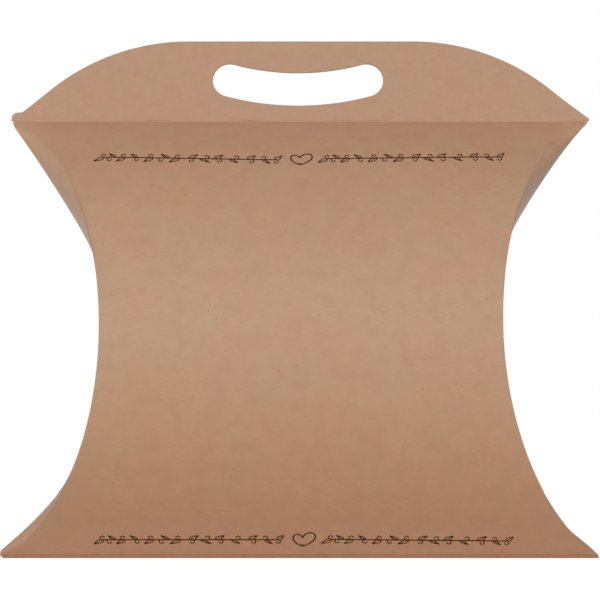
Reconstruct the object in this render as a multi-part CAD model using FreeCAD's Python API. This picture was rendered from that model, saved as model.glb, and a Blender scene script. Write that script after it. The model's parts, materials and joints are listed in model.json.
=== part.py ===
import FreeCAD, Part
import math
import os

Vector = FreeCAD.Vector

# Driving sizes of the carton, in millimetres
panel_width = 350.0  # tip to tip, along the bottom fold and the top crease
panel_height = 261.0  # bottom fold to top crease, straight up
belly_depth = 64.0  # bow of the front and back panels at the waist
end_sag = 64.0  # bow of the end creases towards the middle, at the waist
board = 0.6  # thickness of the board
bow_share = 0.9  # half the panel height over the upright half axis of each bow's ellipse

# Creases: narrow strips of crushed board that work as hinges
score_width = 1.2  # strip along each curved end crease
fold_height = 1.5  # height of the bottom fold
fold_land = 1.0  # flat that the bottom fold stands on
fold_throat = 0.8  # board left in the middle of the bottom fold
crease_radius = 0.8  # rounded ridge where the panels turn up into the handle
crease_drop = 1.0  # top edge of a panel below the middle of that ridge
crease_gap = 0.3  # clearance between the ridge and the handle plies

# Carrying handle: two plies glued face to face
handle_height = 49.7  # above the top crease
handle_tip = 2.0  # height of the handle's outer ends above the top crease
shoulder_run = 105.5  # length of each sloping shoulder, measured level
shoulder_slope = 40.0  # steepest slope of a shoulder, in degrees
shoulder_share = 0.79  # part of the run that is rounded, the rest flares out
hole_length = 103.6
hole_width = 20.5
hole_bend_radius = 158.0  # middle line of the hole, which curves up at both ends
hole_height = 19.8  # middle of the hole above the top crease
hole_shift = -1.4  # the hole stands a little off the middle
glue_film = 0.1
glue_margin = 5.0  # bare border along the edges of the handle and of the hole

# End flaps
flap_gap = 0.6  # clearance beside a flap's crease, and between the two layers
flap_edge_gap = 3.0  # free edge of an outer flap, in from the back panel
flap_tip_gap = 5.0  # ends of a flap, short of the corners
inner_edge_gap = 1.5  # free edge of an inner flap, short of the mid plane
notch_radius = 12.0  # thumb notch in the free edge of an outer flap

overrun = 10.0  # how far a cutting solid passes what it cuts

# Each bow is part of an ellipse. chord_share is how much of the outward half axis lies behind the chord.
chord_share = math.sqrt(1 - bow_share ** 2)
waist = panel_height / 2
ply_bottom = panel_height + crease_radius + crease_gap
ACROSS = Vector(panel_width + 2 * overrun, 0, 0)
THROUGH = Vector(0, 2 * (belly_depth + overrun), 0)


def bow_half_axes(depth, grow):
    """Upright and outward half axes of a bow's ellipse, grown evenly."""
    return waist / bow_share + grow, depth / (1 - chord_share) + grow


def bow_reach(depth, grow, height):
    """How far a bow stands out from its chord at a height."""
    half_up, half_out = bow_half_axes(depth, grow)
    behind = depth * chord_share / (1 - chord_share)
    return half_out * math.sqrt(1 - ((height - waist) / half_up) ** 2) - behind


def bow_solid(chord_middle, outward, depth, grow, run):
    """Solid elliptical cylinder, run long, whose arc bows outward by depth over the panel height."""
    half_up, half_out = bow_half_axes(depth, grow)
    behind = depth * chord_share / (1 - chord_share)
    centre = chord_middle - outward * behind - run / 2
    axes = [Vector(0, 0, half_up), outward * half_out]
    axes.sort(key=lambda axis: -axis.Length)
    ellipse = Part.Ellipse(centre + axes[0], centre + axes[1], centre)
    return Part.Face(Part.Wire(ellipse.toShape())).extrude(run)


def panel_bow(face, grow):
    """Everything behind the front (-1) or back (+1) panel's outer face, grown."""
    return bow_solid(Vector(0, 0, waist), Vector(0, face, 0), belly_depth, grow, ACROSS)


def end_bow(end, grow):
    """Everything beyond the left (-1) or right (+1) end creases, grown inwards."""
    chord_middle = Vector(end * panel_width / 2, 0, waist)
    return bow_solid(chord_middle, Vector(-end, 0, 0), end_sag, grow, THROUGH)


def slab(low, high):
    """Block as wide as any cut needs, between two corners given as (y, z)."""
    corner = Vector(-ACROSS.x / 2, low[0], low[1])
    return Part.makeBox(ACROSS.x, high[0] - low[0], high[1] - low[1], corner)


def panel_sheet(face):
    """Bowed board of one panel, with straight ends past the end creases."""
    reach = face * (belly_depth + overrun)
    half = slab((min(reach, 0), fold_height), (max(reach, 0), panel_height - crease_drop))
    return panel_bow(face, 0).cut(panel_bow(face, -board)).common(half)


def panel(face):
    """Front or back panel, between the scored strips at its ends."""
    return panel_sheet(face).cut(end_bow(-1, score_width)).cut(end_bow(1, score_width))


def end_crease(face, end):
    """Scored strip of board along one curved end crease."""
    return panel_sheet(face).common(end_bow(end, score_width)).cut(end_bow(end, 0))


def bottom_fold():
    """V of folded board under both panels, with a narrow flat to stand on."""
    outer = bow_reach(belly_depth, 0, fold_height)
    inner = bow_reach(belly_depth, -board, fold_height)
    right = [(fold_land / 2, 0), (outer, fold_height), (inner, fold_height)]
    left = [(-y, z) for y, z in reversed(right)]
    outline = right + [(0, fold_throat)] + left
    start = -panel_width / 2
    points = [Vector(start, y, z) for y, z in outline + outline[:1]]
    prism = Part.Face(Part.makePolygon(points)).extrude(Vector(panel_width, 0, 0))
    return prism.cut(end_bow(-1, 0)).cut(end_bow(1, 0))


def top_crease():
    """Rounded ridge of the two creases that the handle turns on."""
    length = panel_width - 2 * score_width
    start = Vector(-length / 2, 0, panel_height)
    return Part.makeCylinder(crease_radius, length, start, Vector(1, 0, 0))


def arc_edge(start, middle, end):
    return Part.Arc(start, middle, end).toShape()


def handle_outline():
    """Flat top, two rounded shoulders that flare out to the tips, and a straight foot."""
    slope = math.radians(shoulder_slope)
    top = panel_height + handle_height
    tip = panel_height + handle_tip
    flat_end = panel_width / 2 - shoulder_run
    round_run = shoulder_share * shoulder_run
    round_radius = round_run / math.sin(slope)
    half_turn = slope / 2
    turn_x = flat_end + round_run
    turn_z = top - round_radius * (1 - math.cos(slope))
    round_x = flat_end + round_radius * math.sin(half_turn)
    round_z = top - round_radius * (1 - math.cos(half_turn))
    flare_run = panel_width / 2 - turn_x
    flare_drop = turn_z - tip
    flare_slope = math.atan2(flare_drop, flare_run)
    flare_sag = math.hypot(flare_run, flare_drop) / 2 * math.tan((slope - flare_slope) / 2)
    flare_x = turn_x + flare_run / 2 - flare_sag * math.sin(flare_slope)
    flare_z = turn_z - flare_drop / 2 - flare_sag * math.cos(flare_slope)
    edges = [Part.makeLine(Vector(-flat_end, 0, top), Vector(flat_end, 0, top))]
    for side in (-1, 1):
        flat = Vector(side * flat_end, 0, top)
        turn = Vector(side * turn_x, 0, turn_z)
        outer = Vector(side * panel_width / 2, 0, tip)
        foot = Vector(side * panel_width / 2, 0, ply_bottom)
        edges.append(arc_edge(flat, Vector(side * round_x, 0, round_z), turn))
        edges.append(arc_edge(turn, Vector(side * flare_x, 0, flare_z), outer))
        edges.append(Part.makeLine(outer, foot))
    feet = [Vector(side * panel_width / 2, 0, ply_bottom) for side in (-1, 1)]
    edges.append(Part.makeLine(*feet))
    return Part.Wire(Part.__sortEdges__(edges))


def hole_outline():
    """Bent slot with round ends, its middle line an arc that is lowest in the middle."""
    end_offset = (hole_length - hole_width) / 2
    half_angle = math.asin(end_offset / hole_bend_radius)
    centre = Vector(hole_shift, 0, panel_height + hole_height + hole_bend_radius)

    def on_arc(radius, angle):
        return centre + Vector(math.sin(angle), 0, -math.cos(angle)) * radius

    low = hole_bend_radius + hole_width / 2
    high = hole_bend_radius - hole_width / 2
    edges = []
    for radius in (low, high):
        ends = on_arc(radius, -half_angle), on_arc(radius, half_angle)
        edges.append(arc_edge(ends[0], on_arc(radius, 0), ends[1]))
    for side in (-1, 1):
        along = Vector(side * math.cos(half_angle), 0, math.sin(half_angle))
        cap = on_arc(hole_bend_radius, side * half_angle) + along * (hole_width / 2)
        edges.append(arc_edge(on_arc(low, side * half_angle), cap, on_arc(high, side * half_angle)))
    return Part.Wire(Part.__sortEdges__(edges))


def handle_ply(face):
    """Front or back layer of the handle, with the hand hole cut through."""
    inner = Vector(0, face * glue_film / 2, 0)
    run = Vector(0, face * board, 0)
    cut_start = Vector(0, -face * overrun, 0)
    cut_run = Vector(0, 2 * face * overrun, 0)
    sheet = Part.Face(handle_outline()).translated(inner).extrude(run)
    hole = Part.Face(hole_outline()).translated(cut_start).extrude(cut_run)
    return sheet.cut(hole)


def handle_glue():
    """Thin film of glue between the plies, kept back from the edges."""
    start = Vector(0, -glue_film / 2, 0)
    run = Vector(0, glue_film, 0)
    spread = Part.Face(handle_outline().makeOffset2D(-glue_margin))
    bare = Part.Face(hole_outline().makeOffset2D(glue_margin))
    return spread.cut(bare).translated(start).extrude(run)


def flap_sheet(end, hinge_face, layer):
    """Bent board that closes one end, hinged on one panel and layer deep inside the end creases.

    The deeper it lies, the further its hinged edge keeps from the panel, so that it can swing out past
    the crease.
    """
    sheet = end_bow(end, layer + board).cut(end_bow(end, layer))
    body = slab((-belly_depth, flap_tip_gap), (belly_depth, panel_height - flap_tip_gap))
    return sheet.common(body).common(panel_bow(hinge_face, -board - flap_gap - layer))


def outer_flap(end):
    """Flap on the front panel's end crease, across the whole end, with a notch for the thumb."""
    sheet = flap_sheet(end, -1, 0).common(panel_bow(1, -board - flap_edge_gap))
    edge_middle = bow_reach(belly_depth, -board - flap_edge_gap, waist)
    start = Vector(-ACROSS.x / 2, edge_middle, waist)
    return sheet.cut(Part.makeCylinder(notch_radius, ACROSS.x, start, Vector(1, 0, 0)))


def inner_flap(end):
    """Flap on the back panel's end crease, under the outer one, as far as the mid plane."""
    back_half = slab((inner_edge_gap, 0), (belly_depth, panel_height))
    return flap_sheet(end, 1, board + flap_gap).common(back_half)


nodes = {
    "front_panel": panel(-1),
    "back_panel": panel(1),
    "bottom_fold": bottom_fold(),
    "top_crease": top_crease(),
    "front_handle_ply": handle_ply(-1),
    "back_handle_ply": handle_ply(1),
    "handle_glue": handle_glue(),
}
for end_name, end in (("left", -1), ("right", 1)):
    nodes[f"{end_name}_front_crease"] = end_crease(-1, end)
    nodes[f"{end_name}_back_crease"] = end_crease(1, end)
    nodes[f"{end_name}_outer_flap"] = outer_flap(end)
    nodes[f"{end_name}_inner_flap"] = inner_flap(end)

os.makedirs("parts", exist_ok=True)
for name, shape in nodes.items():
    box = shape.BoundBox
    print(f"{name}: {len(shape.Solids)} solid(s), {shape.Volume:.1f} mm3, valid {shape.isValid()}",
          f"x {box.XMin:.2f}..{box.XMax:.2f}",
          f"y {box.YMin:.2f}..{box.YMax:.2f}",
          f"z {box.ZMin:.2f}..{box.ZMax:.2f}")
    shape.exportStep(f"parts/{name}.step")
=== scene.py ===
import json
import math

import bmesh
import bpy
import numpy as np
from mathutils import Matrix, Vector


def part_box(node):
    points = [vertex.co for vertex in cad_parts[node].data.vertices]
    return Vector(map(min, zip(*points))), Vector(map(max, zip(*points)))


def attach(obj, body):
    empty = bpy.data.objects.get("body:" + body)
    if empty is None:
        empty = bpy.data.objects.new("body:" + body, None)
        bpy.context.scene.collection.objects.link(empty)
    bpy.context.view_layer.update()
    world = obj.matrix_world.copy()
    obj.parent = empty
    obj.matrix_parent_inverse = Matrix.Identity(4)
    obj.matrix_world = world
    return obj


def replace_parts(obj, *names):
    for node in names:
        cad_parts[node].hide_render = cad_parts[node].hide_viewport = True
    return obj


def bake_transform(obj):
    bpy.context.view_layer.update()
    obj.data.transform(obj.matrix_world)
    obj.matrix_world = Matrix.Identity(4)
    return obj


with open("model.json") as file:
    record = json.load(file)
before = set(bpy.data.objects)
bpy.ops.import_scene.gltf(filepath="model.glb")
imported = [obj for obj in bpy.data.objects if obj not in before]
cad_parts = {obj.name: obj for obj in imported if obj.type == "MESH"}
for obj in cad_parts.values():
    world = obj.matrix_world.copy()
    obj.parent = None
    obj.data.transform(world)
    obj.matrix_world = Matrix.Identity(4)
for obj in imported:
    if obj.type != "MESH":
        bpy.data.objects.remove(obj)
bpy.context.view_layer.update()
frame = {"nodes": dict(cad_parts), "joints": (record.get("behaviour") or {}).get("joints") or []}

scene = bpy.context.scene
MM = 0.001

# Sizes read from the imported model, in metres
joints = {joint["name"]: joint for joint in frame["joints"]}
crease_z = joints["handle_fold"]["pos_m"][2]
waist_x, front_y, waist_z = joints["right_outer_hinge"]["pos_m"]
belly = -front_y
fold_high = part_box("bottom_fold")[1]
half_width = fold_high.x
end_sag = half_width - waist_x
ply_low, ply_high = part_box("front_handle_ply")
board = ply_high.y - ply_low.y
glue_half = -ply_high.y
crease_low, crease_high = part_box("top_crease")
crease_radius = (crease_high.z - crease_low.z) / 2
outer_flap_low, outer_flap_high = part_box("right_outer_flap")
inner_flap_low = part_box("right_inner_flap")[0]
flap_edge_gap = belly - outer_flap_high.y
inner_flap_edge = inner_flap_low.y
layer_step = outer_flap_low.x - inner_flap_low.x

# Bows: each is part of an ellipse, cut off by the creases at this share of its half axis. The panels are
# nearly straight towards their creases, while the die-cut end creases are rounder. For the left (-1) and
# the right (1) end: the share below the waist, the share above it, the height of the waist and how much
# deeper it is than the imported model's.
PANEL_BOW_SHARE = 0.68
END_BOWS = {-1: (0.945, 0.94, 127.0 * MM, 0.3 * MM), 1: (0.892, 0.955, 130.5 * MM, -0.5 * MM)}
ROW_SHARE = 0.9  # rows of points lie as close towards the corners as on such an ellipse

# Panels: they lie flatter at the two upper corners, by this share at most, from this share of the height,
# and with this power of the way out to an end. Their slow hollows are the mean of waves, each with an
# angle from the middle to an end, an angle from the fold to the crease and an angle at the start.
PINCH, PINCH_START, PINCH_SPREAD = 0.6, 0.8, 6
DENT = 0.8 * MM  # depth of the hollows
DENT_WAVES = ((5.1, 7.3, 0.6), (9.7, -4.1, 2.0))
PANEL_TOP_GAP = 0.7 * MM  # top edge of a panel below the hinge line

# Rounded end creases: their radius, and the least share of it in the corners
ROLL = 0.8 * MM
LEAST_ROLL = 0.3

# Bottom fold: how round the foot of the V is, of its half width, and how much shorter it is at each end
FOLD_ROUND_SHARE = 0.25
FOLD_END_ROUND = 0.8 * MM

# Top crease: its top is uneven, low on the left, and rises to the right end from this share of the way.
# Its waves have an angle from the middle to an end, an angle at the start and a share of the unevenness.
CREASE_WAVE = 0.12 * MM
CREASE_WAVES = ((17.0, 1.0, 1.0), (41.0, 0.0, 0.6))
CREASE_SINK, CREASE_RISE, CREASE_RISE_START = -0.4 * MM, 0.5 * MM, 0.4
CREASE_END = 0.5 * MM  # gap at each end
CREASE_FADE = 4  # power of the way out with which the unevenness fades
CREASE_TAPER, CREASE_TAPER_SPREAD = 0.5, 30  # share lost at the tips, and the power of the way out

# End flaps: the gap above and below their tips, the thumb notch in the outer ones, and how deep the hem
# lies inside the end and inside the panel, in shares of the crease's radius
FLAP_TIP_GAP = 0.8 * MM
NOTCH_RADIUS = 12.0 * MM
HEM_END, HEM_FACE = 0.2, 0.6

# The outer flaps swell out near the corners. For the left (-1) and the right (1) one, at its top and at
# its bottom: how far, from which share of the way to the corner, and how slowly it falls off at the tip.
SWELLS = {
    -1: ((13.6 * MM, 0.585, 0.71), (9.1 * MM, 0.735, 0.38)),
    1: ((10.3 * MM, 0.638, 0.74), (3.0 * MM, 0.915, 0.90)),
}
SWELL_RISE = 1.5  # power of the way with which a swelling begins
SWELL_FULLNESS = 0.9  # 0.5 is an ellipse, 1 a parabola
FULL_SWELL = 4 * ROLL  # swollen this far, a flap starts at the outside of the rounded crease
TIP_TAPER_SHARE = 1.2  # near the top a swelling is at most this share of the distance to the corner
TIP_CLEARANCE = 0.2 * MM  # a swelling ends this far inside the box's ends

# Handle: a shoulder runs from the flat top to the tip. Its arc takes this share of the run and ends at
# this slope. The two shoulders start earlier by these lengths, and the left tip has a small rounded ear.
SHOULDER_RUN = 105.5 * MM
SHOULDER_SHARE = 0.79
SHOULDER_SLOPE = math.radians(40.0)
LEFT_SHIFT, RIGHT_SHIFT = 1.2 * MM, 0.6 * MM
TIP_HEIGHT = 2.0 * MM  # above the hinge line, as are the ear's height and the foot's
EAR_HEIGHT, EAR_RADIUS, EAR_BLEND = 5.1 * MM, 3.6 * MM, 0.8 * MM
FOOT_LIFT = 0.2 * MM

# Hand hole: a slot bent to a radius, the height of its middle above the hinge line and its place across
HOLE_LENGTH, HOLE_WIDTH, HOLE_BEND = 103.6 * MM, 20.5 * MM, 158.0 * MM
HOLE_HEIGHT, HOLE_SHIFT = 19.8 * MM, -1.4 * MM
SIDE_SHARE = 0.4  # the ring of faces round the hole ends here, and plain rows run on to the tips
WELD = 0.001 * MM  # points closer than this are one point

# Printed border: two vines and a heart along the top, the same along the bottom. Each vine has its two
# ends, the height of its left end and its tilt in degrees; each heart its middle, height, width and rise.
# Heights are measured along the bowed panel from the bottom fold.
VINES = (
    ("top_left_vine", -120.7 * MM, -10.8 * MM, 260.7 * MM, -1.5),
    ("top_right_vine", 10.1 * MM, 119.7 * MM, 259.0 * MM, 1.0),
    ("bottom_left_vine", -119.3 * MM, -9.4 * MM, 16.4 * MM, 0.0),
    ("bottom_right_vine", 11.9 * MM, 122.5 * MM, 16.8 * MM, -0.8),
)
HEARTS = (
    ("top_heart", 0.7 * MM, 258.5 * MM, 12.5 * MM, 9.6 * MM),
    ("bottom_heart", 2.3 * MM, 16.6 * MM, 12.8 * MM, 11.2 * MM),
)

# Where leaves and curls leave the stem, in shares of the vine's length, how far the middle of each curl
# lies to the right of that point, and how far each leaf runs along the stem
NODE_SHARES = (0.055, 0.117, 0.166, 0.233, 0.315, 0.401, 0.458,
               0.506, 0.563, 0.641, 0.723, 0.816, 0.898, 0.965)
CURL_SHIFTS = tuple(MM * shift for shift in (-0.4, -3.6, -0.9, -0.3, -1.2, -4.7, -1.3,
                                             1.3, 4.0, 2.9, 3.9, 2.6, 0.4, 0.4))
LEAF_RUNS = tuple(MM * run for run in (6.0, 4.2, 5.0, 4.4, 5.4, 5.1, 6.3,
                                       5.2, 6.3, 5.2, 5.2, 5.0, 4.5, 3.9))
LEAF_RISE = 3.5 * MM
LEAF_BULGE = 0.75  # below 1, a leaf is widest nearer its base
LEAF_FULL, LEAF_TAPER = 1.15, 0.5  # share of the width at the base, and how much less at the tip
CURL_ACROSS, CURL_UP = 1.4 * MM, 1.65 * MM
CURL_TURN, CURL_TIGHTEN = 1.6 * math.pi, 0.45

# Widths of the pen lines. For a wide and a slim leaf: half the leaf's width, its line and its rib's line.
STEM, CURL_LINE, HEART_LINE = 0.88 * MM, 0.66 * MM, 0.85 * MM
WIDE_LEAF = (1.45 * MM, 0.62 * MM, 0.36 * MM)
SLIM_LEAF = (1.0 * MM, 0.52 * MM, 0.52 * MM)
INK_LOW, INK_HIGH = 0.01 * MM, 0.06 * MM  # above the board

# Heart, in shares of its width and rise: four Bezier curves that share their ends, from the tip round the
# left lobe, the cleft and the right lobe back to the tip, and the short overlap of the line inside the tip
HEART_PATH = (
    (0.47, 0.00), (0.19, 0.06), (0.00, 0.34), (0.00, 0.61),
    (0.00, 0.93), (0.29, 1.00), (0.425, 0.635),
    (0.54, 1.08), (1.00, 1.13), (1.00, 0.68),
    (1.00, 0.42), (0.66, 0.10), (0.47, 0.00),
)
HEART_OVERLAP = ((0.31, 0.085), (0.50, 0.055))

# Numbers of points along the grids, paths and profiles
PANEL_ROWS, PANEL_COLUMNS = 151, 121
RIDGE_STATIONS = 241
FOLD_STATIONS, FOLD_POINTS = 61, 41
FLAP_ROWS, FLAP_COLUMNS, NOTCH_ROWS = 161, 49, 41
HOLE_LONG, HOLE_CAP, HOLE_RINGS = 120, 24, 9
TIP_COLUMNS = 90
BOW_STEPS = 2001
STEM_POINTS, LEAF_POINTS, CURL_POINTS, HEART_POINTS = 60, 15, 29, 25
RING_ANGLES = np.linspace(0, 2 * np.pi, 16, endpoint=False)  # round the profile of a crease
SHARP_ANGLE = math.radians(35.0)  # edges that turn more than this are drawn sharp

# Board: its finish, and its shades as the middle tone, the warm and the cool pulp
BOARD_FINISH = {"Roughness": 0.65, "Specular IOR Level": 0.32, "Sheen Weight": 0.15, "Sheen Roughness": 0.4}
KRAFT_SHADES = ("#B0886C", "#B78C70", "#B38F72")
PRESSED_SHADES = ("#AC876B", "#B28B70", "#AE8D71")
SCORED_SHADES = ("#B68F72", "#BB9074", "#B69375")
FIBRE_SHADE, FLECK_SHADE = "#6E5138", "#8A6748"
# the painted shadow of the foot, and the dark of cut edges, partly their own shade and partly painted shade
PAINTED_FOOT_SHADOW, CUT_EDGE_AND_PAINTED_SHADE = "#7A5638", "#5E412B"
FIBRE_BUMP = {"Strength": 0.2, "Distance": 0.1 * MM}

# Patterns: the size of a blob, its detail, and the two limits of the noise between which it comes in.
# Fibres lie across the box, stretched by these factors, and take the pulp to their shade by this share.
CLOUDS = {"size": 24.0 * MM, "detail": 3, "low": 0.35, "high": 0.65}
PATCHES = {"size": 9.0 * MM, "detail": 2, "low": 0.4, "high": 0.75}
FIBRES = {"size": 1.1 * MM, "detail": 3, "low": 0.35, "high": 0.7, "most": 0.09, "stretch": (3.5, 1, 1)}
FLECKS = {"size": 1.6 * MM, "detail": 1, "low": 0.775, "high": 0.80}
INK_WEAR = {"size": 1.0 * MM, "detail": 2, "low": 0.3, "high": 0.8}
GLUE_CLOUDS = {"size": 4.0 * MM, "detail": 2, "low": 0.3, "high": 0.7}
PATTERN_ROUGHNESS = 0.6

# Painted light, as tints that multiply the panels' pulp: a painted sheen in the middle of a slow band and
# between two bands, with the height and the spacing of the bands, and painted bounce light along the bottom
# fold, with the heights between which it comes in
SHEEN_BAND_HEIGHT, SHEEN_BAND_PERIOD = 145.0 * MM, 260.0 * MM
PAINTED_SHEEN_TINT, OUTSIDE_SHEEN_TINT = (1.0, 1.058, 1.054, 1.0), (1.0, 0.966, 0.921, 1.0)
PAINTED_BOUNCE_TINT = (1.13, 1.12, 1.12, 1.0)
PAINTED_BOUNCE_HEIGHTS = {"From Min": 22.0 * MM, "From Max": 2.0 * MM}

# Where the painted shadow on the foot comes in, from this height down to a third of it, and where the dark
# of a cut edge, partly its own shade and partly painted shade, comes in, by how far a face looks to the
# front or to the back
FOOT_SHADOW_HEIGHT = 0.7 * MM
FOOT_SHADOW_HEIGHTS = {"From Min": FOOT_SHADOW_HEIGHT, "From Max": FOOT_SHADOW_HEIGHT / 3}
CUT_FACING = {"From Min": 0.7, "From Max": 0.3}

# Studio: plain light from all round, a paper floor that glows a little less near the box, and three soft
# lamps with their places, widths, heights and powers, all turned to one point
WHITE = (1, 1, 1, 1)
AMBIENT = 0.3
FLOOR_HALF = 6.0
FLOOR_SHADE = "#F4F4F4"
GLOW = {"From Min": 0.3, "From Max": 1.5, "To Min": 0.68, "To Max": 0.85}
LAMP_AIM = (0, 0, 0.15)
LAMPS = (
    ("front_softbox", (0, -2.2, 0.36), 1.6, 0.66, 30.7),
    ("left_softbox", (-2.0, -0.7, 0.5), 1.0, 0.9, 7.0),
    ("back_softbox", (0, 2.2, 0.6), 1.6, 0.8, 18.0),
)

# Camera, measured from the photograph
CAMERA_PLACE = (0.0, -0.8123, 0.0517)
CAMERA_RISE = math.radians(7.0)
CAMERA_LENS, SENSOR_WIDTH = 82.26, 36.0
CAMERA_SHIFT = (-0.0005, 0.0007)


def way_past(start, share):
    """Way covered since a start: 0 up to the start, then straight up to 1 at the end."""
    return np.clip((share - start) / (1 - start), 0, 1)


def bow(way, share):
    """Share of a full bow at a way from its middle (0) to its two ends (-1 and 1).

    Part of an ellipse, measured out from the chord through those ends, which cut it off at the given share
    of its half axis.
    """
    chord = np.sqrt(1 - share ** 2)
    return np.maximum(np.sqrt(np.clip(1 - (share * way) ** 2, 0, 1)) - chord, 0) / (1 - chord)


def face_y(z):
    """Distance of a panel from the mid plane, halfway between its ends: one bow from fold to crease."""
    return belly * bow(2 * z / crease_z - 1, PANEL_BOW_SHARE)


def pinch(z):
    """Share by which a panel's ends lie closer to the mid plane: the square of the way up from a start."""
    return PINCH * way_past(PINCH_START, z / crease_z) ** 2


def crease_y(z):
    """Distance of the end creases from the mid plane: the panel's, less what it is pinched there."""
    return face_y(z) * (1 - pinch(z))


def end_x(z, end):
    """Distance of the left (-1) or right (+1) end's creases from the middle.

    Half the width, less halves of two bows that meet upright at the waist.
    """
    below, above, waist, deeper = END_BOWS[end]
    way = (z - waist) / np.where(z < waist, waist, crease_z - waist)
    return half_width - (end_sag + deeper) * bow(way, np.where(z < waist, below, above))


def heights(low, high, count):
    """Heights between two ends, spaced evenly along the angle of an ellipse."""
    first, last = (math.asin(ROW_SHARE * (2 * z / crease_z - 1)) for z in (low, high))
    return crease_z / 2 * (1 + np.sin(np.linspace(first, last, count)) / ROW_SHARE)


def panel_heights():
    """Heights of a panel's rows, one under the other."""
    return heights(fold_high.z, crease_z - PANEL_TOP_GAP, PANEL_ROWS)[:, None]


def roll_radius(z):
    """Radius of an end crease: half its distance from the mid plane, within the least and the full one."""
    return ROLL * np.clip(crease_y(z) / (2 * ROLL), LEAST_ROLL, 1)


def panel_depth(x, z):
    """Distance of a panel's outer face from the mid plane.

    The bow at that height, pinched towards the upper corners, less the mean of a few slow waves that fade
    out towards every crease.
    """
    across, up = x / half_width, z / crease_z
    sines = [np.sin(turn * across + climb * up + start) for turn, climb, start in DENT_WAVES]
    waves = (1 + np.mean(sines, axis=0)) / 2
    out = x / np.where(x < 0, end_x(z, -1), end_x(z, 1))
    fade = np.sqrt(np.clip(4 * up * (1 - up), 0, 1)) * np.clip(1 - out ** 2, 0, 1)
    bowed = face_y(z) * (1 - pinch(z) * np.abs(out) ** PINCH_SPREAD)
    return bowed - DENT * waves * fade


def grid_quads(rows, columns, closed=False):
    """Four-sided faces of a grid of points numbered row by row; closed joins each row's ends."""
    index = np.arange(rows * columns).reshape(rows, columns)
    if closed:
        index = np.concatenate([index, index[:, :1]], axis=1)
    corners = index[:-1, :-1], index[:-1, 1:], index[1:, 1:], index[1:, :-1]
    return np.stack(corners, axis=-1).reshape(-1, 4)


def rim(rows, columns):
    """Numbers of a grid's border points, in order round it."""
    index = np.arange(rows * columns).reshape(rows, columns)
    sides = index[0, :-1], index[:-1, -1], index[-1, :0:-1], index[:0:-1, 0]
    return np.concatenate(sides)


def unit(vectors):
    """The same directions, each with a length of 1."""
    return vectors / np.linalg.norm(vectors, axis=-1, keepdims=True)


def grid_normals(grid, towards):
    """Unit normals of a grid of points, on the side of the given direction."""
    along, across = np.gradient(grid, axis=0), np.gradient(grid, axis=1)
    normals = unit(np.cross(along, across))
    side = np.sign(np.sum(normals * np.asarray(towards), axis=-1, keepdims=True))
    return normals * np.where(side == 0, 1, side)


def add_mesh(name, points, faces, material):
    """Closed mesh with outward normals, smooth but for its sharp edges."""
    mesh = bpy.data.meshes.new(name)
    mesh.from_pydata(np.reshape(points, (-1, 3)).tolist(), [], faces)
    work = bmesh.new()
    work.from_mesh(mesh)
    bmesh.ops.recalc_face_normals(work, faces=work.faces)
    work.to_mesh(mesh)
    work.free()
    mesh.polygons.foreach_set("use_smooth", np.ones(len(mesh.polygons), dtype=bool))
    mesh.set_sharp_from_angle(angle=SHARP_ANGLE)
    mesh.materials.append(material)
    piece = bpy.data.objects.new(name, mesh)
    scene.collection.objects.link(piece)
    return piece


def board_between(name, outer, inner, material):
    """Board between two grids of points of the same shape, closed round the rim."""
    rows, columns = outer.shape[:2]
    count = rows * columns
    faces = grid_quads(rows, columns)
    loop = rim(rows, columns)
    ahead = np.roll(loop, -1)
    edge = np.stack([loop, ahead, ahead + count, loop + count], axis=-1)
    quads = np.concatenate([faces, faces[:, ::-1] + count, edge])
    points = np.concatenate([outer.reshape(-1, 3), inner.reshape(-1, 3)])
    return add_mesh(name, points, quads.tolist(), material)


def carried_profiles(name, paths, material):
    """Closed profiles carried along paths: for each, one ring of points per station, capped at both ends."""
    points, faces, start = [], [], 0
    for rings in paths:
        stations, count = rings.shape[:2]
        last = start + (stations - 1) * count
        faces += (grid_quads(stations, count, closed=True) + start).tolist()
        faces += [list(range(start, start + count)), list(range(last, last + count))]
        points.append(rings.reshape(-1, 3))
        start += stations * count
    return add_mesh(name, np.concatenate(points), faces, material)


def make_panel(name, face, material):
    """Bowed panel, front (-1) or back (+1).

    A grid of straight lines across, one per height of the bow, each as long as the end creases leave,
    and a copy a board's thickness inside.
    """
    z = panel_heights()
    left, right = (end * (end_x(z, end) - roll_radius(z)) for end in (-1, 1))
    x = left + np.linspace(0, 1, PANEL_COLUMNS) * (right - left)
    z = np.broadcast_to(z, x.shape)
    outer = np.stack([x, face * panel_depth(x, z), z], axis=-1)
    inner = outer - board * grid_normals(outer, (0, face, 0))
    return board_between(name, outer, inner, material)


def make_end_crease(name, face, end, material):
    """Rounded end crease: a circle carried along the curve where a panel turns into its flap."""
    z = panel_heights()
    radius = roll_radius(z)
    x = end * (end_x(z, end) - radius + radius * np.cos(RING_ANGLES))
    y = face * (crease_y(z) - radius + radius * np.sin(RING_ANGLES))
    rings = np.stack([x, y, np.broadcast_to(z, x.shape)], axis=-1)
    return carried_profiles(name, [rings], material)


def make_bottom_fold(name, material):
    """Fold under both panels, a V with a rounded foot.

    The profile is one branch of a hyperbola outside and a copy of it inside, carried from one end curve to
    the other, with the foot a little shorter.
    """
    across = np.linspace(-1, 1, FOLD_POINTS)
    y = fold_high.y * across
    rise = np.hypot(across, FOLD_ROUND_SHARE) - FOLD_ROUND_SHARE
    z = fold_high.z * rise / rise[0]
    inside = np.stack([y * (1 - board / fold_high.y), z + board * (1 - across ** 2)], axis=-1)
    y, z = np.concatenate([np.stack([y, z], axis=-1), inside[::-1]]).T
    foot = FOLD_END_ROUND * np.clip(1 - z / fold_high.z, 0, 1) ** 2
    left, right = (end * (end_x(z, end) - foot) for end in (-1, 1))
    x = left + np.linspace(0, 1, FOLD_STATIONS)[:, None] * (right - left)
    rings = np.stack([x, np.broadcast_to(y, x.shape), np.broadcast_to(z, x.shape)], axis=-1)
    return carried_profiles(name, [rings], material)


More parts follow.
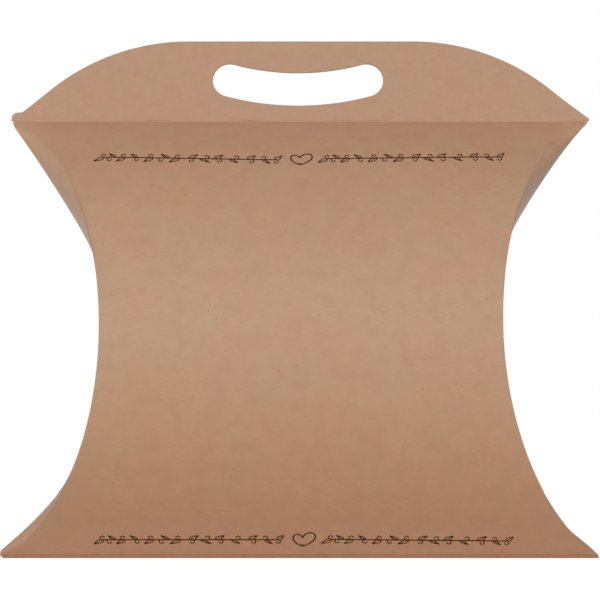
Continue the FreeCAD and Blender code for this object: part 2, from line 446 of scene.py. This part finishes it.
def make_top_crease(name, material):
    """Ridge on the handle's hinge line: an ellipse carried along it, with an uneven top.

    The top's lift is a sum of waves and a slow rise to the right, and fades out towards both tips.
    """
    x = np.linspace(CREASE_END - half_width, half_width - CREASE_END, RIDGE_STATIONS)[:, None]
    share = x / half_width
    wave = CREASE_WAVE * sum(size * np.sin(turn * share + start) for turn, start, size in CREASE_WAVES)
    lift = wave + CREASE_SINK + (CREASE_RISE - CREASE_SINK) * way_past(CREASE_RISE_START, share)
    lift = lift * (1 - share ** CREASE_FADE)
    radius = crease_radius * (1 - CREASE_TAPER * share ** CREASE_TAPER_SPREAD)
    y = radius * np.cos(RING_ANGLES)
    z = crease_z + lift / 2 + (radius + lift / 2) * np.sin(RING_ANGLES)
    rings = np.stack([np.broadcast_to(x, y.shape), y, z], axis=-1)
    return carried_profiles(name, [rings], material)


def swelling(share, size, start_share, fall):
    """How far a flap stands out at a share of the way to a corner.

    A power of the way covered times a power of the way left, which is nothing at both ends, scaled so that
    its highest value is the given size.
    """
    covered = way_past(start_share, share)
    peak = SWELL_RISE / (SWELL_RISE + fall)
    highest = peak ** SWELL_RISE * (1 - peak) ** fall
    return size * covered ** SWELL_RISE * (1 - covered) ** fall / highest


def make_flap(name, end, face, material):
    """End flap on the front panel's crease (-1, the outer flap) or on the back panel's (+1, the inner one).

    It is bent like its crease. Rows follow the height. Across a row, the depth runs from the crease to the
    free edge as minus the cosine of half a turn. An outer flap has a round notch, and swells out near the
    corners by (1 - depth squared) to the power of the fullness. Each point's share of the hinge's angle is
    worked out: none on the crease, all at the waist, and in between so that an open flap would run on
    smoothly from the panel; nothing uses it. A hem lies inside the rounded crease.
    """
    outer_flap = face < 0
    z = heights(FLAP_TIP_GAP, crease_z - FLAP_TIP_GAP, FLAP_ROWS)
    if outer_flap:
        notch_rows = NOTCH_RADIUS * np.sin(np.linspace(-np.pi / 2, np.pi / 2, NOTCH_ROWS))
        z = np.unique(np.concatenate([z, waist_z + notch_rows]))
    z = z[:, None]
    front, edge, radius = crease_y(z), end_x(z, end), roll_radius(z)
    if outer_flap:
        top, bottom = SWELLS[end]
        above = np.minimum(swelling(z / crease_z, *top), TIP_TAPER_SHARE * (crease_z - z))
        swell = above + swelling(1 - z / crease_z, *bottom)
        notch = np.sqrt(np.clip(NOTCH_RADIUS ** 2 - (z - waist_z) ** 2, 0, None))
        stop = np.minimum(flap_edge_gap - front, front / 2) + notch
        sink = 0
    else:
        swell = np.zeros_like(z)
        stop = np.minimum(inner_flap_edge, front / 2)
        sink = layer_step
    start = front - radius * (1 - np.clip(swell / FULL_SWELL, 0, 1))
    depth = -np.cos(np.linspace(0, np.pi, FLAP_COLUMNS))
    y = face * ((start + stop) / 2 - depth * (start - stop) / 2)
    out = edge - sink + swell * (1 - depth ** 2) ** SWELL_FULLNESS
    x = end * np.minimum(out, half_width - TIP_CLEARANCE)
    hem = np.stack([end * (edge - HEM_END * radius), face * (front - HEM_FACE * radius), z], axis=-1)
    outer = np.concatenate([hem, np.stack([x, y, np.broadcast_to(z, y.shape)], axis=-1)], axis=1)
    inner = outer - board * np.array([end, 0, 0])
    flap = board_between(name, outer, inner, material)
    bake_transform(flap)
    off_x, off_y = edge - waist_x, belly - front
    away = front - face * y
    turned = (np.arctan2(off_y + away, off_x) - np.arctan2(off_y, off_x + away)) * 2 / np.pi
    turned = np.concatenate([np.zeros_like(z), turned], axis=1).ravel()
    return flap


def handle_top(x):
    """Height of the handle's upper edge: flat, then an arc down each shoulder.

    On the right a parabola flares out from the arc to the tip. On the left a straight slope runs into a
    small ear with a round corner; the smooth maximum of the two is the edge.
    """
    top, tip = ply_high.z, crease_z + TIP_HEIGHT
    flat_end = half_width - SHOULDER_RUN
    round_run = SHOULDER_SHARE * SHOULDER_RUN
    radius = round_run / math.sin(SHOULDER_SLOPE)
    out = np.abs(x) + np.where(x < 0, LEFT_SHIFT, RIGHT_SHIFT) - flat_end
    past = np.clip(out, 0, round_run)
    shoulder = top - radius + np.sqrt(radius ** 2 - past ** 2)
    turn_z = top - radius * (1 - math.cos(SHOULDER_SLOPE))
    flare_run = SHOULDER_RUN - round_run
    steep = math.tan(SHOULDER_SLOPE)
    curve = (tip - turn_z + steep * flare_run) / flare_run ** 2
    beyond = np.clip(out - round_run, 0, None)
    flare = np.where(x > 0, curve * beyond ** 2, 0) - steep * beyond
    edge = np.where(beyond > 0, turn_z + flare, shoulder)
    ear_round = np.clip(EAR_RADIUS - (x + half_width), 0, EAR_RADIUS)
    ear = crease_z + EAR_HEIGHT - EAR_RADIUS + np.sqrt(EAR_RADIUS ** 2 - ear_round ** 2)
    left = (edge + ear + np.hypot(edge - ear, EAR_BLEND)) / 2
    return np.where(x < -flat_end - round_run, left, edge)


def hole_rim():
    """Points round the hand hole, clockwise from its upper left.

    A bent slot: two arcs about one centre above it, joined by half circles.
    """
    swing = math.asin((HOLE_LENGTH - HOLE_WIDTH) / 2 / HOLE_BEND)
    centre = np.array([HOLE_SHIFT, crease_z + HOLE_HEIGHT + HOLE_BEND])

    def arc(radius, first, last):
        angle = np.linspace(first, last, HOLE_LONG, endpoint=False)
        return centre + radius * np.stack([np.sin(angle), -np.cos(angle)], axis=-1)

    def cap(side):
        middle = centre + HOLE_BEND * np.array([math.sin(side * swing), -math.cos(side * swing)])
        half_turn = np.linspace(np.pi / 2, -np.pi / 2, HOLE_CAP, endpoint=False)
        angle = side * swing + side * np.pi / 2 - np.pi / 2 + half_turn
        return middle + HOLE_WIDTH / 2 * np.stack([np.cos(angle), np.sin(angle)], axis=-1)

    upper = arc(HOLE_BEND - HOLE_WIDTH / 2, -swing, swing)
    lower = arc(HOLE_BEND + HOLE_WIDTH / 2, swing, -swing)
    return np.concatenate([upper, cap(1), lower, cap(-1)])


def make_ply(name, face, material):
    """One flat ply of the handle, front (-1) or back (+1): three grids that meet at two upright lines.

    Round the hand hole, rings of points run out to the upper edge, the foot and the two lines. Beyond each
    line, columns run from the foot to the upper edge as far as the tip. Walls close the border edges.
    """
    side, foot = SIDE_SHARE * half_width, crease_z + FOOT_LIFT
    along = np.linspace(-side, side, HOLE_LONG, endpoint=False)
    rows = np.linspace(0, 1, HOLE_CAP + 1)
    right, left = np.full(HOLE_CAP, side), np.full(HOLE_CAP, -side)
    around = np.concatenate([
        np.stack([along, handle_top(along)], axis=-1),
        np.stack([right, foot + (1 - rows[:-1]) * (handle_top(right) - foot)], axis=-1),
        np.stack([-along, np.full(HOLE_LONG, foot)], axis=-1),
        np.stack([left, foot + rows[:-1] * (handle_top(left) - foot)], axis=-1),
    ])
    hole = hole_rim()
    rings = hole + np.linspace(0, 1, HOLE_RINGS)[:, None, None] * (around - hole)
    points, quads = [rings.reshape(-1, 2)], [grid_quads(*rings.shape[:2], closed=True)]
    spread = side + (half_width - side) * np.sin(np.linspace(0, np.pi / 2, TIP_COLUMNS))
    for end in (-1, 1):
        x = np.broadcast_to(end * spread, (HOLE_CAP + 1, TIP_COLUMNS))
        block = np.stack([x, foot + rows[:, None] * (handle_top(x) - foot)], axis=-1)
        quads.append(grid_quads(*block.shape[:2]) + sum(len(group) for group in points))
        points.append(block.reshape(-1, 2))
    flat, quads = np.concatenate(points), np.concatenate(quads)
    cells = np.round(flat / WELD).astype(int)
    first, number = np.unique(cells, axis=0, return_index=True, return_inverse=True)[1:]
    flat, quads = flat[first], number.reshape(-1)[quads]
    sides = np.concatenate([quads[:, [k, (k + 1) % 4]] for k in range(4)])
    pairs, uses = np.unique(np.sort(sides, axis=1), axis=0, return_counts=True)
    border = pairs[uses == 1]
    walls = np.concatenate([border, border[:, ::-1] + len(flat)], axis=1)
    layers = [np.insert(flat, 1, face * y, axis=1) for y in (glue_half + board, glue_half)]
    faces = np.concatenate([quads, quads + len(flat), walls])
    return add_mesh(name, np.concatenate(layers), faces.tolist(), material)


def on_front(flat, lift):
    """Places flat print on the front panel.

    The first number runs across and the second up along the bow, from the bottom fold, whose length is
    summed over short straight steps. lift is the height above the board.
    """
    z = np.linspace(0, crease_z, BOW_STEPS)
    depth = face_y(z)
    length = np.concatenate([[0], np.cumsum(np.hypot(np.diff(z), np.diff(depth)))])
    height = np.interp(flat[..., 1], length, z)
    slope = np.interp(height, z, np.gradient(depth, z))
    normal = unit(np.stack([np.zeros_like(slope), -np.ones_like(slope), -slope], axis=-1))
    place = np.stack([flat[..., 0], -panel_depth(flat[..., 0], height), height], axis=-1)
    return place + lift * normal


def stroke(path, width):
    """Ink along a flat path: a strip of the given width, as rings of four corners for each point."""
    along = unit(np.gradient(path, axis=0))
    across = np.stack([-along[:, 1], along[:, 0]], axis=-1) * width / 2
    low = [on_front(path + side * across, INK_LOW) for side in (-1, 1)]
    high = [on_front(path + side * across, INK_HIGH) for side in (1, -1)]
    return np.stack([*low, *high], axis=1)


def leaf_paths(base, run, side, wide):
    """Flat lines of a leaf from its base to its drawn-out tip: two curved edges and a rib.

    Half the width is half a sine wave over a power of the way, times a straight taper. The rib is fine in a
    wide leaf, and nearly fills a slim one.
    """
    half, line, rib_line = WIDE_LEAF if wide else SLIM_LEAF
    along = np.linspace(0, 1, LEAF_POINTS)
    axis = np.array([run, side * LEAF_RISE])
    out = np.array([-axis[1], axis[0]]) / np.linalg.norm(axis)
    width = half * np.sin(np.pi * along ** LEAF_BULGE) * (LEAF_FULL - LEAF_TAPER * along)
    rib = base + along[:, None] * axis
    edges = [(rib + sign * width[:, None] * out, line) for sign in (-1, 1)]
    return edges + [(rib, rib_line)]


def curl_path(base, shift, side, way):
    """Small open curl that starts at the stem and winds about four fifths of a turn round.

    An ellipse about a middle beside the stem, made tighter with the square of the way.
    """
    turn = np.linspace(0, CURL_TURN, CURL_POINTS)
    tighten = 1 - CURL_TIGHTEN * (turn / turn[-1]) ** 2
    middle = base + np.array([shift, side * CURL_UP])
    angle = -side * np.pi / 2 + way * side * turn
    circle = np.stack([CURL_ACROSS * np.cos(angle), CURL_UP * np.sin(angle)], axis=-1)
    return middle + tighten[:, None] * circle


def make_vine(name, left, right, height, tilt, material):
    """Straight stem with a leaf on one side and a curl on the other at each node.

    They change sides from node to node, and point away from the vine's middle. The left half's lower
    leaves and the right half's upper ones are wide, the others slim.
    """
    slope = math.tan(math.radians(tilt))
    nodes = left + (right - left) * np.array(NODE_SHARES)

    def on_stem(x):
        return np.stack([x, height + slope * (x - left)], axis=-1)

    paths = [(on_stem(np.linspace(nodes[0], nodes[-1], STEM_POINTS)), STEM)]
    for number, (x, run, shift) in enumerate(zip(nodes, LEAF_RUNS, CURL_SHIFTS)):
        way = -1 if number < len(nodes) / 2 else 1
        side = 1 if number % 2 else -1
        paths += leaf_paths(on_stem(x), way * run, side, side == way)
        paths.append((curl_path(on_stem(x), shift, -side, way), CURL_LINE))
    strokes = [stroke(path, width) for path, width in paths]
    return carried_profiles(name, strokes, material)


def make_heart(name, middle, height, width, rise, material):
    """One pen line round a heart, made of Bezier curves, and the short overlap of its two ends."""
    way = np.linspace(0, 1, HEART_POINTS)[:, None]
    rest = 1 - way
    parts = np.concatenate([rest ** 3, 3 * way * rest ** 2, 3 * way ** 2 * rest, way ** 3], axis=1)
    corners = np.array(HEART_PATH)
    curves = [parts @ corners[k:k + 4] for k in range(0, len(corners) - 1, 3)]
    outline = np.concatenate([curve[:-1] for curve in curves] + [corners[-1:]])
    first, last = np.array(HEART_OVERLAP)
    overlap = first + way * (last - first)
    low_left = np.array([middle - width / 2, height - rise / 2])
    paths = [low_left + np.array([width, rise]) * line for line in (outline, overlap)]
    strokes = [stroke(path, HEART_LINE) for path in paths]
    return carried_profiles(name, strokes, material)


def linear(hex_colour):
    """sRGB hex to a linear colour with alpha, by the curve of the standard."""
    parts = [int(hex_colour[k:k + 2], 16) / 255 for k in (1, 3, 5)]
    return [c / 12.92 if c <= 0.04045 else ((c + 0.055) / 1.055) ** 2.4 for c in parts] + [1.0]


def add_node(tree, kind, settings=None):
    """Adds a node with its settings and links, and returns its outputs.

    A setting is a property where the node has one of that name. Otherwise it is an input, by its name or
    number, which is linked where the value is a socket.
    """
    node = tree.nodes.new(kind)
    for key, value in (settings or {}).items():
        if isinstance(value, bpy.types.NodeSocket):
            tree.links.new(value, node.inputs[key])
        elif isinstance(key, str) and hasattr(node, key):
            setattr(node, key, value)
        else:
            node.inputs[key].default_value = value
    return node.outputs


def new_material(name, finish):
    """New material with its node tree and its shader, whose inputs have the values of the finish."""
    material = bpy.data.materials.new(name)
    material.use_nodes = True
    shader = material.node_tree.nodes["Principled BSDF"]
    for key, value in finish.items():
        shader.inputs[key].default_value = value
    return material, material.node_tree, shader


def soft_pattern(tree, size, detail, low, high, most=1.0, stretch=(1, 1, 1)):
    """Noise with blobs of a real size, and its strength: 0 up to the low limit, most from the high one."""
    place = add_node(tree, "ShaderNodeTexCoord")["Object"]
    scales = [1 / (size * factor) for factor in stretch]
    scaled = add_node(tree, "ShaderNodeVectorMath", {"operation": "MULTIPLY", 0: place, 1: scales})[0]
    fineness = {"Scale": 1.0, "Detail": detail, "Roughness": PATTERN_ROUGHNESS}
    noise = add_node(tree, "ShaderNodeTexNoise", {"Vector": scaled, **fineness})["Fac"]
    limits = {"From Min": low, "From Max": high, "To Max": most}
    return noise, add_node(tree, "ShaderNodeMapRange", {"Value": noise, **limits})[0]


def kraft_material(name, shades, painted_light=False, foot_shadow=False, cut_edges_with_painted_shade=False):
    """Uncoated kraft board: soft clouds of warmer and cooler pulp, short fibres and a few dark flecks.

    Real fibres are about 0.03 mm thick and too fine to show, so they are drawn as bundles. As options: a
    painted sheen makes the pulp paler and yellower in one slow band across the belly, and redder above and
    below it, and painted bounce light makes it pale along the bottom fold; a painted shadow darkens the foot
    that the box stands on; and faces that look neither to the front nor to the back are dark, partly as the
    die leaves them and partly as painted shade.
    """
    material, tree, shader = new_material(name, BOARD_FINISH)
    texture = add_node(tree, "ShaderNodeTexCoord")
    height = add_node(tree, "ShaderNodeSeparateXYZ", {0: texture["Object"]})["Z"]
    middle, warm, cool = (linear(shade) for shade in shades)
    clouds, patches, flecks = (soft_pattern(tree, **pattern)[1] for pattern in (CLOUDS, PATCHES, FLECKS))
    fibre_noise, fibres = soft_pattern(tree, **FIBRES)
    layers = [("MIX", clouds, cool), ("MIX", patches, middle)]
    if painted_light:
        # painted sheen: paler and yellower in the middle of a slow band across the belly, redder between
        # bands
        turn = 2 * math.pi / SHEEN_BAND_PERIOD
        climb = {"operation": "MULTIPLY_ADD", 0: height, 1: turn, 2: -turn * SHEEN_BAND_HEIGHT}
        phase = add_node(tree, "ShaderNodeMath", climb)[0]
        wave = add_node(tree, "ShaderNodeMath", {"operation": "COSINE", 0: phase})[0]
        sheen_band = add_node(tree, "ShaderNodeMapRange", {"Value": wave, "From Min": -1, "From Max": 1})[0]
        sheen_tints = {"data_type": "RGBA", 0: sheen_band, 6: OUTSIDE_SHEEN_TINT, 7: PAINTED_SHEEN_TINT}
        sheen_tint = add_node(tree, "ShaderNodeMix", sheen_tints)[2]
        # painted bounce light: the pulp is paler along the bottom fold
        bounce_share = add_node(tree, "ShaderNodeMapRange", {"Value": height, **PAINTED_BOUNCE_HEIGHTS})[0]
        layers += [("MULTIPLY", 1.0, sheen_tint), ("MULTIPLY", bounce_share, PAINTED_BOUNCE_TINT)]
    layers += [("MIX", fibres, linear(FIBRE_SHADE)), ("MIX", flecks, linear(FLECK_SHADE))]
    if foot_shadow:
        # painted shadow on the foot where it stands on the floor
        foot_shadow_share = add_node(tree, "ShaderNodeMapRange", {"Value": height, **FOOT_SHADOW_HEIGHTS})[0]
        layers.append(("MIX", foot_shadow_share, linear(PAINTED_FOOT_SHADOW)))
    if cut_edges_with_painted_shade:
        # cut edges are dark, partly their own shade and partly painted shade
        way = add_node(tree, "ShaderNodeSeparateXYZ", {0: texture["Normal"]})["Y"]
        facing = add_node(tree, "ShaderNodeMath", {"operation": "ABSOLUTE", 0: way})[0]
        cut = add_node(tree, "ShaderNodeMapRange", {"Value": facing, **CUT_FACING})[0]
        layers.append(("MIX", cut, linear(CUT_EDGE_AND_PAINTED_SHADE)))
    colour = warm
    for blend, strength, shade in layers:
        settings = {"data_type": "RGBA", "blend_type": blend, 0: strength, 6: colour, 7: shade}
        colour = add_node(tree, "ShaderNodeMix", settings)[2]
    tree.links.new(colour, shader.inputs["Base Color"])
    bump = add_node(tree, "ShaderNodeBump", {"Height": fibre_noise, **FIBRE_BUMP})[0]
    tree.links.new(bump, shader.inputs["Normal"])
    return material


def mottled_material(name, finish, first, second, pattern):
    """Material of two shades, one in soft spots on the other."""
    material, tree, shader = new_material(name, finish)
    spots = soft_pattern(tree, **pattern)[1]
    shades = {"data_type": "RGBA", 0: spots, 6: linear(first), 7: linear(second)}
    tree.links.new(add_node(tree, "ShaderNodeMix", shades)[2], shader.inputs["Base Color"])
    return material


def seen_directly(tree):
    """1 for rays from the camera, and for those that mirrors and glass pass on."""
    path = add_node(tree, "ShaderNodeLightPath")
    seen = path["Is Camera Ray"]
    for ray in ("Is Glossy Ray", "Is Transmission Ray"):
        seen = add_node(tree, "ShaderNodeMath", {"operation": "MAXIMUM", 0: seen, 1: path[ray]})[0]
    return seen


def paper_material(name):
    """Matt white paper that looks white from afar, and lets the shadow show round the box."""
    colours = {"Base Color": linear(FLOOR_SHADE), "Emission Color": WHITE}
    material, tree, shader = new_material(name, {"Roughness": 0.9, "Specular IOR Level": 0.0, **colours})
    spot = add_node(tree, "ShaderNodeTexCoord")["Object"]
    distance = add_node(tree, "ShaderNodeVectorMath", {"operation": "LENGTH", 0: spot})["Value"]
    level = add_node(tree, "ShaderNodeMapRange", {"Value": distance, **GLOW})[0]
    glow = add_node(tree, "ShaderNodeMath", {"operation": "MULTIPLY", 0: seen_directly(tree), 1: level})[0]
    tree.links.new(glow, shader.inputs["Emission Strength"])
    return material


def studio_world(name):
    """Dim white light from all round, which looks plain white where it is seen directly."""
    world = bpy.data.worlds.new(name)
    world.use_nodes = True
    tree = world.node_tree
    ambient = tree.nodes["Background"]
    ambient.inputs["Color"].default_value = WHITE
    ambient.inputs["Strength"].default_value = AMBIENT
    white = add_node(tree, "ShaderNodeBackground", {"Color": WHITE, "Strength": 1.0})[0]
    choice = {0: seen_directly(tree), 1: ambient.outputs[0], 2: white}
    surface = add_node(tree, "ShaderNodeMixShader", choice)[0]
    tree.links.new(surface, tree.nodes["World Output"].inputs["Surface"])
    return world


# Matt brown board: plain on the flaps, with a painted sheen band and painted bounce light on the panels and
# the bottom fold, a shade darker where the handle is pressed flat, paler where the creases are crushed, and
# with a painted shadow along the foot that the box stands on
kraft = kraft_material("kraft_board", KRAFT_SHADES)
kraft_with_painted_light = kraft_material("banded_kraft_board", KRAFT_SHADES, painted_light=True)
pressed = kraft_material("pressed_kraft_board", PRESSED_SHADES, cut_edges_with_painted_shade=True)
scored = kraft_material("scored_kraft_board", SCORED_SHADES)
fold_with_foot_shadow = kraft_material("rubbed_kraft_board", KRAFT_SHADES, painted_light=True, foot_shadow=True)

# Dark brown printing ink, dull and a little thinner in spots, where the board's fibres show through
ink_finish = {"Roughness": 0.85, "Specular IOR Level": 0.08}
ink = mottled_material("brown_printing_ink", ink_finish, "#3A1A05", "#4E2A10", INK_WEAR)

# Dried paper glue, a cream film with a slight shine and pale clouds
glue = mottled_material("dried_paper_glue", {"Roughness": 0.45}, "#DDD5BE", "#E8E2D0", GLUE_CLOUDS)

# Panels, creases and handle
fixed = []
for side_name, face in (("front", -1), ("back", 1)):
    panel = make_panel(f"{side_name}_panel_board", face, kraft_with_painted_light)
    fixed.append(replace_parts(panel, f"{side_name}_panel"))
    ply = make_ply(f"{side_name}_handle_board", face, pressed)
    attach(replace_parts(ply, f"{side_name}_handle_ply"), "handle")
    for end_name, end in (("left", -1), ("right", 1)):
        crease = make_end_crease(f"{end_name}_{side_name}_fold", face, end, scored)
        fixed.append(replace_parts(crease, f"{end_name}_{side_name}_crease"))
fixed.append(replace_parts(make_bottom_fold("bottom_fold_board", fold_with_foot_shadow), "bottom_fold"))
fixed.append(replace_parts(make_top_crease("top_crease_ridge", scored), "top_crease"))

# End flaps
for end_name, end in (("left", -1), ("right", 1)):
    for layer, face in (("outer", -1), ("inner", 1)):
        flap = make_flap(f"{end_name}_{layer}_flap_board", end, face, kraft)
        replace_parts(flap, f"{end_name}_{layer}_flap")

# Print
for name, left, right, height, tilt in VINES:
    fixed.append(make_vine(name, left, right, height, tilt, ink))
for name, middle, height, width, rise in HEARTS:
    fixed.append(make_heart(name, middle, height, width, rise, ink))
for piece in fixed:
    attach(piece, "carton")

# Glue film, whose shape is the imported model's
glue_node = frame["nodes"]["handle_glue"]
glue_node.data.materials.clear()
glue_node.data.materials.append(glue)

# Studio
scene.view_settings.view_transform = "Standard"
scene.world = studio_world("studio")
floor_mesh = bpy.data.meshes.new("floor")
floor_corners = [(x * FLOOR_HALF, y * FLOOR_HALF, 0) for x, y in ((-1, -1), (1, -1), (1, 1), (-1, 1))]
floor_mesh.from_pydata(floor_corners, [], [(0, 1, 2, 3)])
floor_mesh.materials.append(paper_material("white_paper"))
floor = bpy.data.objects.new("floor", floor_mesh)
scene.collection.objects.link(floor)

for name, place, width, height, power in LAMPS:
    lamp = bpy.data.lights.new(name, "AREA")
    lamp.shape = "RECTANGLE"
    lamp.size, lamp.size_y, lamp.energy = width, height, power
    holder = bpy.data.objects.new(name, lamp)
    scene.collection.objects.link(holder)
    holder.location = place
    look = Vector(LAMP_AIM) - Vector(place)
    holder.rotation_euler = look.to_track_quat("-Z", "Y").to_euler()

camera_data = bpy.data.cameras.new("camera")
camera_data.lens, camera_data.sensor_width = CAMERA_LENS, SENSOR_WIDTH
camera_data.shift_x, camera_data.shift_y = CAMERA_SHIFT
camera = bpy.data.objects.new("camera", camera_data)
camera.location = CAMERA_PLACE
camera.rotation_euler = (math.pi / 2 + CAMERA_RISE, 0, 0)
scene.collection.objects.link(camera)
scene.camera = camera
